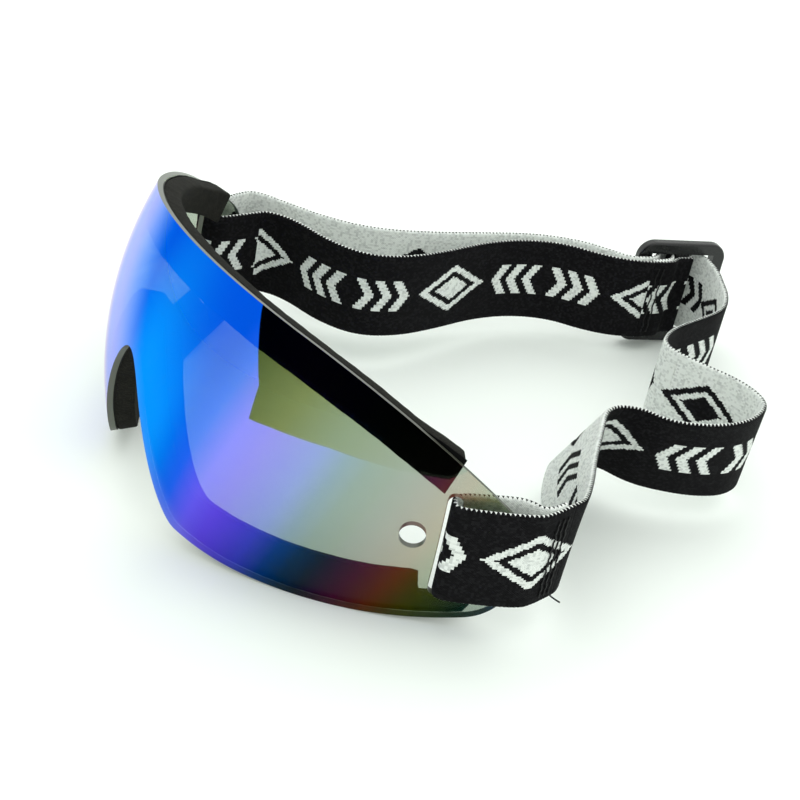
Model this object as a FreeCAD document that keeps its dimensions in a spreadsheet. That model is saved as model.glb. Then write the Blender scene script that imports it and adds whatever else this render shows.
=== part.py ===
import FreeCAD, Part
import Sketcher
import math
import os

# Jockey goggles: a wrapped single lens with foam on its inner face and a woven
# strap that passes through a slot at each end and through one slider.
# Millimetres. Lens frame: front to -Y, wearer's left to +X, up to +Z, zero on
# the outer face at the middle of the lens.

doc = FreeCAD.newDocument("jockey_goggles")
sheet = doc.addObject("Spreadsheet::Sheet", "Sizes")

SIZES = [
    # Lens, measured along its outer face
    ("lens_thickness", 1.5),
    ("lens_half_length", 106.0),
    ("brow_arc_radius", 64.0),
    ("brow_arc_half_length", 44.0),
    ("temple_arc_radius", 125.0),
    ("crown_radius", 96.0),
    ("brow_height", 34.2),
    ("brow_fall", 25.1),
    ("brow_curl", 4.6),
    ("lobe_depth", 36.4),
    ("lobe_station", 48.0),
    ("lobe_rise", 8.6),
    ("notch_height", 3.1),
    ("notch_half_width", 23.5),
    ("end_corner_radius", 7.0),
    # Openings in the lens
    ("slot_station", 88.7),
    ("slot_level", -8.0),
    ("slot_width", 3.4),
    ("slot_clearance", 1.2),
    ("slot_lean", 5.0),
    ("vent_station", 81.0),
    ("vent_level", -6.8),
    ("vent_radius", 3.0),
    # Foam on the inner face
    ("bond_gap", 0.06),
    ("tape_thickness", 0.25),
    ("foam_thickness", 5.0),
    ("brow_foam_width", 9.0),
    ("brow_foam_half_length", 85.0),
    ("cheek_foam_width", 14.0),
    ("cheek_foam_end_width", 6.4),
    ("cheek_foam_half_length", 98.5),
    ("nose_foam_height", 16.0),
    ("nose_foam_flat", 5.0),
    ("nose_foam_half_width", 34.0),
    # Strap
    ("strap_width", 25.0),
    ("strap_thickness", 1.3),
    ("ply_gap", 0.12),
    ("outer_ply_clearance", 1.0),
    ("inner_ply_clearance", 2.0),
    ("thread_thickness", 0.4),
    ("seam_row_spacing", 1.6),
    ("seam_margin", 2.0),
    # Slider
    ("slider_length", 28.0),
    ("slider_thickness", 3.0),
    ("slider_rim", 3.4),
    ("slider_end_bar", 4.0),
    ("slider_centre_bar", 4.0),
    ("slider_side_clearance", 0.6),
    ("slider_corner_radius", 5.0),
    ("slider_edge_radius", 0.7),
    ("slider_x", -20.6),
    ("slider_set_back", 116.6),
    ("slider_heading", 76.0),
    # Attitude: the lens leans back from the strap, and the whole part lies down
    ("lens_lean", 6.0),
    ("rest_lean", 3.02),
]

for row, (alias, value) in enumerate(SIZES, start=1):
    sheet.set(f"A{row}", alias)
    sheet.set(f"B{row}", str(value))
    sheet.setAlias(f"B{row}", alias)
doc.recompute()


def size(alias):
    return float(getattr(sheet, alias))


def smooth_step(value, start, end):
    share = min(max((value - start) / (end - start), 0.0), 1.0)
    return share * share * (3.0 - 2.0 * share)


# Lens surface: two plan arcs a side, tangent where they meet, and one upright arc
def plan_point(station):
    """Point, outward normal and heading of the outer face's plan curve."""
    side = 1.0 if station >= 0 else -1.0
    along = abs(station)
    brow = size("brow_arc_radius")
    temple = size("temple_arc_radius")
    reach = size("brow_arc_half_length")
    turn = min(along, reach) / brow
    x = brow * math.sin(turn)
    y = brow * (1.0 - math.cos(turn))
    if along > reach:
        total = turn + (along - reach) / temple
        x += temple * (math.sin(total) - math.sin(turn))
        y += temple * (math.cos(turn) - math.cos(total))
        turn = total
    normal = FreeCAD.Vector(side * math.sin(turn), -math.cos(turn), 0)
    tangent = FreeCAD.Vector(math.cos(turn), side * math.sin(turn), 0)
    return FreeCAD.Vector(side * x, y, 0), normal, tangent


def lens_point(station, level, depth=0.0):
    """Point at a station along the lens, a level up it and a depth behind it."""
    crown = size("crown_radius")
    base, normal, _ = plan_point(station)
    angle = level / crown
    reach = (math.cos(angle) - 1.0) * crown - depth * math.cos(angle)
    height = (crown - depth) * math.sin(angle)
    return base + normal * reach + FreeCAD.Vector(0, 0, height)


def lens_placement(station, level, depth=0.0):
    """Placement with X along the lens, Y into it and Z up its upright arc."""
    _, normal, tangent = plan_point(station)
    angle = level / size("crown_radius")
    outward = normal * math.cos(angle) + FreeCAD.Vector(0, 0, math.sin(angle))
    upright = tangent.cross(outward * -1.0)
    turn = FreeCAD.Rotation(tangent, outward * -1.0, upright, "XYZ")
    return FreeCAD.Placement(lens_point(station, level, depth), turn)


# Outline of the lens in developed sizes: level of an edge at each station
def corner_drop(station, half_length, radius):
    past = abs(station) - (half_length - radius)
    if past <= 0:
        return 0.0
    past = min(past, radius)
    return radius - math.sqrt(radius * radius - past * past)


def brow_edge(station):
    share = (station / 100.0) ** 2
    return size("brow_height") - size("brow_fall") * share - size("brow_curl") * share**2


def lobe_line(station):
    share = (abs(station) - size("lobe_station")) / 50.0
    return size("lobe_rise") * share**2 - size("lobe_depth")


def cheek_edge(station):
    low = lobe_line(station)
    rise = 1.0 - smooth_step(abs(station), 0.0, size("notch_half_width"))
    return low + (size("notch_height") - low) * rise


def lens_top(station):
    drop = corner_drop(station, size("lens_half_length"), size("end_corner_radius"))
    return brow_edge(station) - drop


def lens_bottom(station):
    drop = corner_drop(station, size("lens_half_length"), size("end_corner_radius"))
    return cheek_edge(station) + drop


def brow_foam_bottom(station):
    return brow_edge(station) - size("brow_foam_width")


def cheek_foam_top(station):
    slot_edge = size("slot_station") - size("slot_width")
    narrow = smooth_step(abs(station), slot_edge - 11.0, slot_edge - 2.0)
    spare = size("cheek_foam_width") - size("cheek_foam_end_width")
    low = lobe_line(station) + size("cheek_foam_width") - spare * narrow
    fall = smooth_step(abs(station), size("nose_foam_flat"), size("nose_foam_half_width"))
    return size("nose_foam_height") + (low - size("nose_foam_height")) * fall


# Section stations of one side: fine round the nose, coarse along the sides, and
# one at the end of each strip, so that layers laid on each other share sections
FINE_STEP = 2.0
COARSE_STEP = 4.0
CORNER_STEPS = 5
CORNER_SWEEP = 84.0


def side_stations():
    marks = [size("brow_foam_half_length"), size("cheek_foam_half_length")]
    found = list(marks)
    along = 0.0
    while along < size("lens_half_length") - size("end_corner_radius"):
        if all(abs(along - mark) > COARSE_STEP / 3.0 for mark in marks):
            found.append(along)
        along += FINE_STEP if along < size("nose_foam_half_width") else COARSE_STEP
    return sorted(found)


def stations(half_length, corner):
    start = half_length - corner
    right = [along for along in side_stations() if along < start - 0.01] + [start]
    if corner > 0:
        for index in range(1, CORNER_STEPS + 1):
            angle = math.radians(CORNER_SWEEP * index / CORNER_STEPS)
            right.append(start + corner * math.sin(angle))
    return [-along for along in reversed(right[1:])] + right


def wrapped_band(station_list, bottom, top, front, back):
    """Solid between two edges and two depths that follows the lens round."""
    sections = []
    for station in station_list:
        low = bottom(station)
        high = top(station)
        middle = (low + high) / 2.0
        outer = Part.Arc(
            lens_point(station, low, front),
            lens_point(station, middle, front),
            lens_point(station, high, front),
        ).toShape()
        inner = Part.Arc(
            lens_point(station, high, back),
            lens_point(station, middle, back),
            lens_point(station, low, back),
        ).toShape()
        roof = Part.LineSegment(
            lens_point(station, high, front), lens_point(station, high, back)
        ).toShape()
        floor = Part.LineSegment(
            lens_point(station, low, back), lens_point(station, low, front)
        ).toShape()
        sections.append(Part.Wire([outer, roof, inner, floor]))
    return Part.makeLoft(sections, True, True)


# Attitude of the lens against the strap, before the part is laid down
LENS_PLACEMENT = FreeCAD.Placement(
    FreeCAD.Vector(0, 0, 0),
    FreeCAD.Rotation(FreeCAD.Vector(1, 0, 0), -size("lens_lean")),
)

parts = []


def keep(item, label, placement):
    item.Label = label
    item.Placement = placement
    parts.append(item)
    return item


# Lens: clear plastic shell with a strap slot and a vent hole at each end
lens_blank = doc.addObject("Part::Feature", "LensBlank")
lens_blank.Shape = wrapped_band(
    stations(size("lens_half_length"), size("end_corner_radius")),
    lens_bottom,
    lens_top,
    0.0,
    size("lens_thickness"),
)

cutters = []
reach = 6.0 * size("lens_thickness")
for side_name, side in (("Near", 1.0), ("Far", -1.0)):
    upright = FreeCAD.Rotation(FreeCAD.Vector(0, 1, 0), -side * size("slot_lean"))
    place = lens_placement(side * size("slot_station"), size("slot_level"))
    place = place * FreeCAD.Placement(FreeCAD.Vector(0, 0, 0), upright)
    bar = doc.addObject("Part::Box", side_name + "SlotBar")
    bar.setExpression("Length", "Sizes.slot_width")
    bar.setExpression("Width", "12 * Sizes.lens_thickness")
    bar.setExpression(
        "Height", "Sizes.strap_width + 2 * Sizes.slot_clearance - Sizes.slot_width"
    )
    run = size("strap_width") + 2.0 * size("slot_clearance") - size("slot_width")
    shift = FreeCAD.Vector(-size("slot_width") / 2.0, -reach, -run / 2.0)
    bar.Placement = place * FreeCAD.Placement(shift, FreeCAD.Rotation())
    cutters.append(bar)
    for end_name, level in (("Top", run / 2.0), ("Bottom", -run / 2.0)):
        end = doc.addObject("Part::Cylinder", side_name + "Slot" + end_name)
        end.setExpression("Radius", "Sizes.slot_width / 2")
        end.setExpression("Height", "12 * Sizes.lens_thickness")
        into = FreeCAD.Rotation(FreeCAD.Vector(1, 0, 0), -90)
        end.Placement = place * FreeCAD.Placement(FreeCAD.Vector(0, -reach, level), into)
        cutters.append(end)
    vent = doc.addObject("Part::Cylinder", side_name + "Vent")
    vent.setExpression("Radius", "Sizes.vent_radius")
    vent.setExpression("Height", "12 * Sizes.lens_thickness")
    vent.Placement = lens_placement(
        side * size("vent_station"), size("vent_level")
    ) * FreeCAD.Placement(
        FreeCAD.Vector(0, -reach, 0), FreeCAD.Rotation(FreeCAD.Vector(1, 0, 0), -90)
    )
    cutters.append(vent)

openings = doc.addObject("Part::MultiFuse", "LensOpenings")
openings.Shapes = cutters
lens = doc.addObject("Part::Cut", "Lens")
lens.Base = lens_blank
lens.Tool = openings
keep(lens, "lens", LENS_PLACEMENT)

# Foam: a brow strip and one strip round the nose and cheeks, each on its tape
tape_front = size("lens_thickness") + size("bond_gap")
tape_back = tape_front + size("tape_thickness")
foam_back = tape_back + size("foam_thickness")
brow_stations = stations(size("brow_foam_half_length"), 0.0)
cheek_stations = stations(size("cheek_foam_half_length"), 0.0)

for label, places, bottom, top, front, back in (
    ("brow_foam_tape", brow_stations, brow_foam_bottom, brow_edge, tape_front, tape_back),
    ("brow_foam", brow_stations, brow_foam_bottom, brow_edge, tape_back, foam_back),
    ("nose_foam_tape", cheek_stations, cheek_edge, cheek_foam_top, tape_front, tape_back),
    ("nose_foam", cheek_stations, cheek_edge, cheek_foam_top, tape_back, foam_back),
):
    strip = doc.addObject("Part::Feature", label.title().replace("_", ""))
    strip.Shape = wrapped_band(places, bottom, top, front, back)
    keep(strip, label, LENS_PLACEMENT)


# Strap: a flat woven band on edge, whose path is runs joined by tangent arcs
def rounded_path(points, bend_limit=None):
    """Pieces of a path: (start, end) for a run, (start, middle, end, centre) for an arc."""
    pieces = []
    here = points[0]
    for index in range(1, len(points) - 1):
        before = points[index] - points[index - 1]
        after = points[index + 1] - points[index]
        turn = before.getAngle(after)
        shorter = min(before.Length, after.Length)
        radius = 0.45 * shorter / math.tan(turn / 2.0)
        if bend_limit:
            radius = min(radius, bend_limit)
        setback = radius * math.tan(turn / 2.0)
        start = points[index] - FreeCAD.Vector(before).normalize() * setback
        end = points[index] + FreeCAD.Vector(after).normalize() * setback
        side = 1.0 if before.cross(after).z > 0 else -1.0
        across = FreeCAD.Vector(-before.y, before.x, 0).normalize() * side
        centre = start + across * radius
        middle = centre + (points[index] - centre).normalize() * radius
        pieces.append((here, start))
        pieces.append((start, middle, end, centre))
        here = end
    pieces.append((here, points[-1]))
    return pieces


def band_face(points, thickness, bend_limit=None):
    """Face of a band in plan: the path offset by half the thickness on each side."""
    sides = {1.0: [], -1.0: []}
    ends = {}
    for piece in rounded_path(points, bend_limit):
        for side in sides:
            if len(piece) == 2:
                run = piece[1] - piece[0]
                across = FreeCAD.Vector(-run.y, run.x, 0).normalize() * (side * thickness / 2.0)
                edge = (piece[0] + across, piece[1] + across)
                sides[side].append(Part.LineSegment(*edge).toShape())
                first, last = edge
            else:
                start, middle, end, centre = piece
                inward = (start - centre).Length
                left = (middle - start).cross(end - middle).z > 0
                grown = inward - side * thickness / 2.0 * (1.0 if left else -1.0)
                edge = [centre + (point - centre) * (grown / inward) for point in piece[:3]]
                sides[side].append(Part.Arc(*edge).toShape())
                first, last = edge[0], edge[2]
            ends.setdefault((side, "first"), first)
            ends[(side, "last")] = last
    cap = Part.LineSegment(ends[(1.0, "last")], ends[(-1.0, "last")]).toShape()
    back = Part.LineSegment(ends[(-1.0, "first")], ends[(1.0, "first")]).toShape()
    edges = sides[1.0] + [cap] + sides[-1.0][::-1] + [back]
    return Part.Face(Part.Wire(Part.__sortEdges__(edges)))


def strap_plan(station, depth):
    """Place beside the lens, at the slot's level, seen in the strap's own plan."""
    point = LENS_PLACEMENT.multVec(lens_point(station, size("slot_level"), depth))
    return FreeCAD.Vector(point.x, point.y, 0)


slot_middle = LENS_PLACEMENT.multVec(lens_point(size("slot_station"), size("slot_level")))
STRAP_LOW = slot_middle.z - size("strap_width") / 2.0
STRAP_PLACEMENT = FreeCAD.Placement()


def strap_band(label, points, bend_limit=None):
    name = label.title().replace("_", "")
    plan = doc.addObject("Part::Feature", name + "Plan")
    plan.Shape = band_face(points, size("strap_thickness"), bend_limit)
    plan.Placement = FreeCAD.Placement(FreeCAD.Vector(0, 0, STRAP_LOW), FreeCAD.Rotation())
    band = doc.addObject("Part::Extrusion", name)
    band.Base = plan
    band.DirMode = "Custom"
    band.Dir = FreeCAD.Vector(0, 0, 1)
    band.setExpression("LengthFwd", "Sizes.strap_width")
    band.Solid = True
    return keep(band, label, STRAP_PLACEMENT)


half = size("strap_thickness") / 2.0
outer_depth = -(size("outer_ply_clearance") + half)
inner_depth = size("lens_thickness") + size("inner_ply_clearance") + half
slot_at = size("slot_station")
fold_run = 0.3
lens_end = size("lens_half_length")


def plan(x, y):
    return FreeCAD.Vector(x, y, 0)


# The free routes are drawn from what carries them: an end of the lens or the slider
near_end = strap_plan(lens_end, 0.0)
far_end = strap_plan(-lens_end, 0.0)
slider_middle = plan(size("slider_x"), near_end.y + size("slider_set_back"))
ply_turn = slot_at + (lens_end - slot_at) * 0.5


# Near loop: through the slot, round the lens end and sewn to itself behind it
ply_step = size("strap_thickness") + size("ply_gap")
seam_start = near_end + plan(2.2, 3.1)
seam_end = near_end + plan(0.3, 10.1)
seam_along = (seam_end - seam_start).normalize()
seam_in = FreeCAD.Vector(-seam_along.y, seam_along.x, 0)
near_loop_points = [
    seam_start + seam_along * 6.4 + seam_in * ply_step,
    seam_start + seam_along * 0.4 + seam_in * ply_step,
    strap_plan(lens_end - 0.5, inner_depth + 0.5),
    strap_plan(ply_turn, inner_depth + 0.4),
    strap_plan(slot_at + fold_run, inner_depth - 0.6),
    strap_plan(slot_at - fold_run, size("lens_thickness") / 2.0),
    strap_plan(slot_at + fold_run, outer_depth),
    strap_plan(ply_turn, outer_depth),
    strap_plan(lens_end, outer_depth),
    seam_start,
    seam_end,
]
strap_band("near_strap_loop", near_loop_points)

# Slider frame: where the bars lie, along it and toward the wearer's left
heading = math.radians(size("slider_heading"))
slider_along = plan(math.cos(heading), math.sin(heading))
slider_out = plan(math.sin(heading), -math.cos(heading))


def slider_plan(along, out):
    return slider_middle + slider_along * along + slider_out * out


bar_face = size("slider_thickness") / 2.0
window = (size("slider_length") - size("slider_centre_bar")) / 2.0 - size("slider_end_bar")
bar_edge = size("slider_centre_bar") / 2.0
end_edge = bar_edge + window
over_bar = bar_face + half + 0.6
wrap_out = bar_face + half + 0.15
under_wrap = -(wrap_out + ply_step)
seam_out = over_bar + ply_step
main_out = seam_out + ply_step
slider_end = size("slider_length") / 2.0

# Sewn wrap: the strap's end goes round the middle bar and back under its own run
wrap_side = bar_edge + half + 0.15
wrap_bend = 0.9
wrap_points = [
    slider_plan(-end_edge - 1.0, main_out),
    slider_plan(-wrap_side - 1.7, main_out),
    slider_plan(-wrap_side + 0.75, wrap_out),
    slider_plan(wrap_side, wrap_out),
    slider_plan(wrap_side, -wrap_out),
    slider_plan(-wrap_side, -wrap_out),
    slider_plan(-wrap_side, wrap_out - 1.4),
    slider_plan(-wrap_side - 2.4, seam_out),
    slider_plan(-end_edge - 0.6, seam_out),
]
strap_band("slider_bar_wrap", wrap_points, wrap_bend)

# Threaded run: in front of one end bar, behind the wrapped middle bar and out again
threaded_points = [
    slider_plan(-slider_end - 1.5, over_bar),
    slider_plan(-end_edge - 0.3, over_bar),
    slider_plan(-end_edge + 2.1, 1.0),
    slider_plan(-wrap_side - 2.8, under_wrap + 1.1),
    slider_plan(-wrap_side + 0.2, under_wrap),
    slider_plan(wrap_side - 0.2, under_wrap),
    slider_plan(wrap_side + 2.6, under_wrap + 1.2),
    slider_plan(end_edge - 2.6, 0.8),
    slider_plan(end_edge - 2.2, 4.0),
    slider_plan(end_edge - 2.2, 6.8),
]
strap_band("slider_threaded_strap", threaded_points)

# Folded run: free between the near loop and the slider, lying in waves
folded_points = [
    seam_end,
    seam_end + seam_along * 2.0,
    near_end + plan(-2.1, 14.7),
    near_end + plan(-10.7, 20.7),
    near_end + plan(-20.1, 25.9),
    near_end + plan(-30.1, 34.1),
    near_end + plan(-39.1, 42.7),
    near_end + plan(-35.1, 51.3),
    near_end + plan(-27.1, 54.9),
    near_end + plan(-22.1, 62.3),
    near_end + plan(-19.1, 70.1),
    near_end + plan(-18.7, 78.5),
    near_end + plan(-23.1, 86.7),
    slider_middle + plan(64.2, -30.1),
    slider_middle + plan(53.8, -36.1),
    slider_middle + plan(43.6, -40.3),
    slider_middle + plan(37.2, -32.5),
    slider_middle + plan(34.4, -20.5),
    slider_middle + plan(31.8, -9.9),
    slider_middle + plan(25.2, -2.5),
    slider_middle + plan(15.8, 2.7),
    slider_plan(end_edge - 2.2, 9.4),
    slider_plan(end_edge - 2.2, 6.8),
]
strap_band("folded_strap", folded_points)

# Far loop: through the far slot, one ply inside the lens end and one outside
far_inner_start = far_end + plan(10.7, 0.7)
far_inner_bend = far_end + plan(11.3, -4.9)
far_outer_start = far_end + plan(-1.9, 2.7)
far_outer_bend = strap_plan(-lens_end, outer_depth)
far_inner_along = (far_inner_start - far_inner_bend).normalize()
far_outer_along = (far_outer_start - far_outer_bend).normalize()
far_loop_points = [
    far_inner_start,
    far_inner_bend,
    strap_plan(-slot_at - fold_run, inner_depth + 1.0),
    strap_plan(-slot_at + fold_run, size("lens_thickness") / 2.0),
    strap_plan(-slot_at - fold_run, outer_depth),
    strap_plan(-ply_turn, outer_depth),
    far_outer_bend,
    far_outer_start,
]
strap_band("far_strap_loop", far_loop_points)

# Inner run: from the far loop to the sewn wrap
strap_band(
    "inner_strap_run",
    [
        far_inner_start,
        far_inner_start + far_inner_along * 2.6,
        far_end + plan(17.1, 8.9),
        far_end + plan(30.3, 12.7),
        far_end + plan(40.1, 19.9),
        far_end + plan(42.9, 31.7),
        far_end + plan(41.5, 45.1),
        far_end + plan(38.9, 58.7),
        slider_middle + plan(-16.8, -44.9),
        slider_middle + plan(-12.4, -33.5),
        slider_middle + plan(-4.2, -26.1),
        slider_plan(-end_edge - 7.0, main_out),
        slider_plan(-end_edge - 1.0, main_out),
    ],
)

# Outer run: from the far loop to the threaded run, further from the face
strap_band(
    "outer_strap_run",
    [
        far_outer_start,
        far_outer_start + far_outer_along * 2.4,
        far_end + plan(7.7, 11.9),
        far_end + plan(18.3, 19.9),
        far_end + plan(26.1, 30.7),
        far_end + plan(30.5, 45.3),
        far_end + plan(33.3, 61.1),
        slider_middle + plan(-19.6, -39.1),
        slider_middle + plan(-12.8, -26.7),
        slider_middle + plan(-6.2, -21.3),
        slider_plan(-slider_end - 3.6, over_bar),
        slider_plan(-slider_end - 1.5, over_bar),
    ],
)


# Slider: one moulded frame with three bars and two windows
def rectangle(sketch, left, low, right, high, bound):
    """Rectangle whose four sides sit where the bound expressions put them."""
    first = len(sketch.Geometry)
    corners = [(left, low), (right, low), (right, high), (left, high)]
    for index in range(4):
        start = FreeCAD.Vector(*corners[index], 0)
        end = FreeCAD.Vector(*corners[(index + 1) % 4], 0)
        sketch.addGeometry(Part.LineSegment(start, end), False)
    for index in range(4):
        after = first + (index + 1) % 4
        sketch.addConstraint(Sketcher.Constraint("Coincident", first + index, 2, after, 1))
    sketch.addConstraint(Sketcher.Constraint("Horizontal", first))
    sketch.addConstraint(Sketcher.Constraint("Horizontal", first + 2))
    sketch.addConstraint(Sketcher.Constraint("Vertical", first + 1))
    sketch.addConstraint(Sketcher.Constraint("Vertical", first + 3))
    for axis, point, value, text in (
        ("DistanceX", 1, left, bound[0]),
        ("DistanceY", 1, low, bound[1]),
    ):
        number = sketch.addConstraint(Sketcher.Constraint(axis, -1, 1, first, point, value))
        sketch.setExpression(f"Constraints[{number}]", text)
    for axis, value, text in (("DistanceX", right, bound[2]), ("DistanceY", high, bound[3])):
        number = sketch.addConstraint(Sketcher.Constraint(axis, -1, 1, first + 1, 2, value))
        sketch.setExpression(f"Constraints[{number}]", text)


def origin_plane(body, role):
    return next(item for item in body.Origin.OriginFeatures if item.Role == role)


slider_height = size("strap_width") + 2.0 * (size("slider_side_clearance") + size("slider_rim"))
slider = doc.addObject("PartDesign::Body", "Slider")
outline = slider.newObject("Sketcher::SketchObject", "SliderOutline")
outline.AttachmentSupport = (origin_plane(slider, "XY_Plane"), [""])
outline.MapMode = "FlatFace"
HALF_LENGTH = "Sizes.slider_length / 2"
HALF_HEIGHT = "(Sizes.strap_width / 2 + Sizes.slider_side_clearance + Sizes.slider_rim)"
rectangle(
    outline,
    -slider_end,
    -slider_height / 2.0,
    slider_end,
    slider_height / 2.0,
    ("-" + HALF_LENGTH, "-" + HALF_HEIGHT, HALF_LENGTH, HALF_HEIGHT),
)
plate = slider.newObject("PartDesign::Pad", "SliderPlate")
plate.Profile = outline
plate.setExpression("Length", "Sizes.slider_thickness")
plate.Midplane = True
doc.recompute()

corner_edges = [
    f"Edge{index + 1}"
    for index, edge in enumerate(plate.Shape.Edges)
    if abs(edge.Length - size("slider_thickness")) < 0.001
]
corners = slider.newObject("PartDesign::Fillet", "SliderCorners")
corners.Base = (plate, corner_edges)
corners.setExpression("Radius", "Sizes.slider_corner_radius")
doc.recompute()
rim_edges = [
    f"Edge{index + 1}"
    for index, edge in enumerate(corners.Shape.Edges)
    if edge.BoundBox.ZLength < 0.001
]
edges = slider.newObject("PartDesign::Fillet", "SliderEdges")
edges.Base = (corners, rim_edges)
edges.setExpression("Radius", "Sizes.slider_edge_radius")
doc.recompute()

windows = slider.newObject("Sketcher::SketchObject", "SliderWindows")
windows.AttachmentSupport = (origin_plane(slider, "XY_Plane"), [""])
windows.MapMode = "FlatFace"
WINDOW_HALF = "(Sizes.strap_width / 2 + Sizes.slider_side_clearance)"
BAR_EDGE = "Sizes.slider_centre_bar / 2"
END_EDGE = "(Sizes.slider_length / 2 - Sizes.slider_end_bar)"
window_half = size("strap_width") / 2.0 + size("slider_side_clearance")
rectangle(
    windows,
    bar_edge,
    -window_half,
    end_edge,
    window_half,
    (BAR_EDGE, "-" + WINDOW_HALF, END_EDGE, WINDOW_HALF),
)
rectangle(
    windows,
    -end_edge,
    -window_half,
    -bar_edge,
    window_half,
    ("-" + END_EDGE, "-" + WINDOW_HALF, "-" + BAR_EDGE, WINDOW_HALF),
)
opening = slider.newObject("PartDesign::Pocket", "SliderPocket")
opening.Profile = windows
opening.Type = "ThroughAll"
opening.Midplane = True
doc.recompute()

slider_turn = FreeCAD.Rotation(slider_along, FreeCAD.Vector(0, 0, 1), slider_out, "XYZ")
slider_at = FreeCAD.Vector(slider_middle.x, slider_middle.y, slider_middle.z)
slider_at.z = STRAP_LOW + size("strap_width") / 2.0
keep(slider, "slider_frame", FreeCAD.Placement(slider_at, slider_turn))

# Seams: rows of thread on the faces that show, near loop first, then the wrap
thread = size("thread_thickness")


def seam_row(label, point, along, out):
    """Upright row of thread laid on a flat stretch of strap."""
    row = doc.addObject("Part::Box", label.title().replace("_", ""))
    row.setExpression("Length", "Sizes.thread_thickness")
    row.setExpression("Width", "Sizes.thread_thickness")
    row.setExpression("Height", "Sizes.strap_width - 2 * Sizes.seam_margin")
    turn = FreeCAD.Rotation(along, out, FreeCAD.Vector(0, 0, 1), "XYZ")
    corner = point - along * (thread / 2.0)
    corner.z = STRAP_LOW + size("seam_margin")
    return keep(row, label, FreeCAD.Placement(corner, turn))


for number in range(3):
    step = 2.2 + number * size("seam_row_spacing")
    face = seam_start + seam_along * step - seam_in * half
    seam_row(f"near_seam_row_{number + 1}", face, seam_along * -1.0, seam_in * -1.0)

for number in range(2):
    step = -end_edge + 0.6 + number * size("seam_row_spacing")
    face = slider_plan(step, main_out + half)
    seam_row(f"slider_seam_row_{number + 1}", face, slider_along * -1.0, slider_out)

doc.recompute()

# The part lies down: tipped back until the slider and both lens lobes touch
lean = FreeCAD.Placement(
    FreeCAD.Vector(0, 0, 0),
    FreeCAD.Rotation(FreeCAD.Vector(1, 0, 0), -size("rest_lean")),
)
box = FreeCAD.BoundBox()
for item in parts:
    item.Placement = lean * item.Placement
doc.recompute()
for item in parts:
    box.add(item.Shape.optimalBoundingBox(False, False))
shift = FreeCAD.Placement(
    FreeCAD.Vector(-box.Center.x, -box.Center.y, -box.ZMin), FreeCAD.Rotation()
)
for item in parts:
    item.Placement = shift * item.Placement
doc.recompute()

for item in doc.Objects:
    bad = [state for state in ("Invalid", "Error") if state in item.State]
    if bad:
        raise RuntimeError(f"{item.Label}: {bad}")
for item in parts:
    if item.Shape.isNull() or not item.Shape.isValid() or not item.Shape.Solids:
        raise RuntimeError(f"{item.Label} has no valid solid")

os.makedirs("parts", exist_ok=True)
for item in parts:
    item.Shape.exportStep(f"parts/{item.Label}.step")
    low = item.Shape.BoundBox
    print(
        f"{item.Label:24s} {item.Shape.Volume:10.1f} mm3"
        f"  x {low.XMin:7.2f} {low.XMax:7.2f}  y {low.YMin:7.2f} {low.YMax:7.2f}"
        f"  z {low.ZMin:6.2f} {low.ZMax:6.2f}  solids {len(item.Shape.Solids)}"
    )
origin_in_row = (shift * lean).multVec(FreeCAD.Vector(0, 0, 0))
print("lens origin in the row frame", origin_in_row)
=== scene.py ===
import math

import bpy
import numpy as np
from mathutils import Matrix, Vector


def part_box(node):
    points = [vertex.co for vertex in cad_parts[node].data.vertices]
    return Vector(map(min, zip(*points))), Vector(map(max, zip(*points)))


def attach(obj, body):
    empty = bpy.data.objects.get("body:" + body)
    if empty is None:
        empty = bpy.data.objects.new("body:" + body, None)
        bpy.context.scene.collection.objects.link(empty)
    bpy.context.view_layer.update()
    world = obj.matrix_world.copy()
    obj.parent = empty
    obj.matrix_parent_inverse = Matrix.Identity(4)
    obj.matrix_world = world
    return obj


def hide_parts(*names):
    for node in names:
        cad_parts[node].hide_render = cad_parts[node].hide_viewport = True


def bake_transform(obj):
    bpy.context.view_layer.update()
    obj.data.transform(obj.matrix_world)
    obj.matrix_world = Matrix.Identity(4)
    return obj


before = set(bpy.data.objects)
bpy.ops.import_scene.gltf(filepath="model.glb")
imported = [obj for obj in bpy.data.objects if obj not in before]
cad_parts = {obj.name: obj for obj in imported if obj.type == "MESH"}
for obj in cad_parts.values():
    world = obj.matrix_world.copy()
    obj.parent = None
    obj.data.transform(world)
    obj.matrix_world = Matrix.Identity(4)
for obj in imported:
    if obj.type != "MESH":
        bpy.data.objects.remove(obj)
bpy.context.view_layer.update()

# Lens: one moulded sheet of polycarbonate, 1.5 mm thick, bent round the face in two
# arcs a side and one upright arc. Its outline and its holes are cut after moulding,
# so the edge is bare plastic while the front carries the mirror coating.
MM = 0.001
LENS_THICKNESS = 1.5
LENS_HALF_LENGTH = 106.0
END_CORNER = 7.0
BROW_RADIUS, BROW_ARC = 64.0, 44.0
TEMPLE_RADIUS = 125.0
CROWN_RADIUS = 96.0
LENS_LEAN, REST_LEAN = 6.0, 3.02
SLOT_STATION, SLOT_LEVEL, SLOT_LEAN = 88.7, -8.0, 5.0
SLOT_WIDTH, SLOT_LENGTH = 3.4, 27.4
VENT_STATION, VENT_LEVEL, VENT_RADIUS = 81.0, -6.8, 3.0
BROW_MIDDLE, BROW_FALL, BROW_STEEPER = 34.2, 25.1, 4.6
LOBE_LOW, LOBE_MIDDLE, LOBE_REACH, LOBE_RISE = -36.4, 48.0, 50.0, 8.6
NOSE_LEVEL, NOSE_REACH = 3.1, 23.5


def turned(points, degrees):
    """Points turned about X, so that a positive angle lifts the back."""
    c, s = math.cos(math.radians(degrees)), math.sin(math.radians(degrees))
    x, y, z = np.moveaxis(np.asarray(points, float), -1, 0)
    return np.stack([x, y * c - z * s, y * s + z * c], axis=-1)


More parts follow.
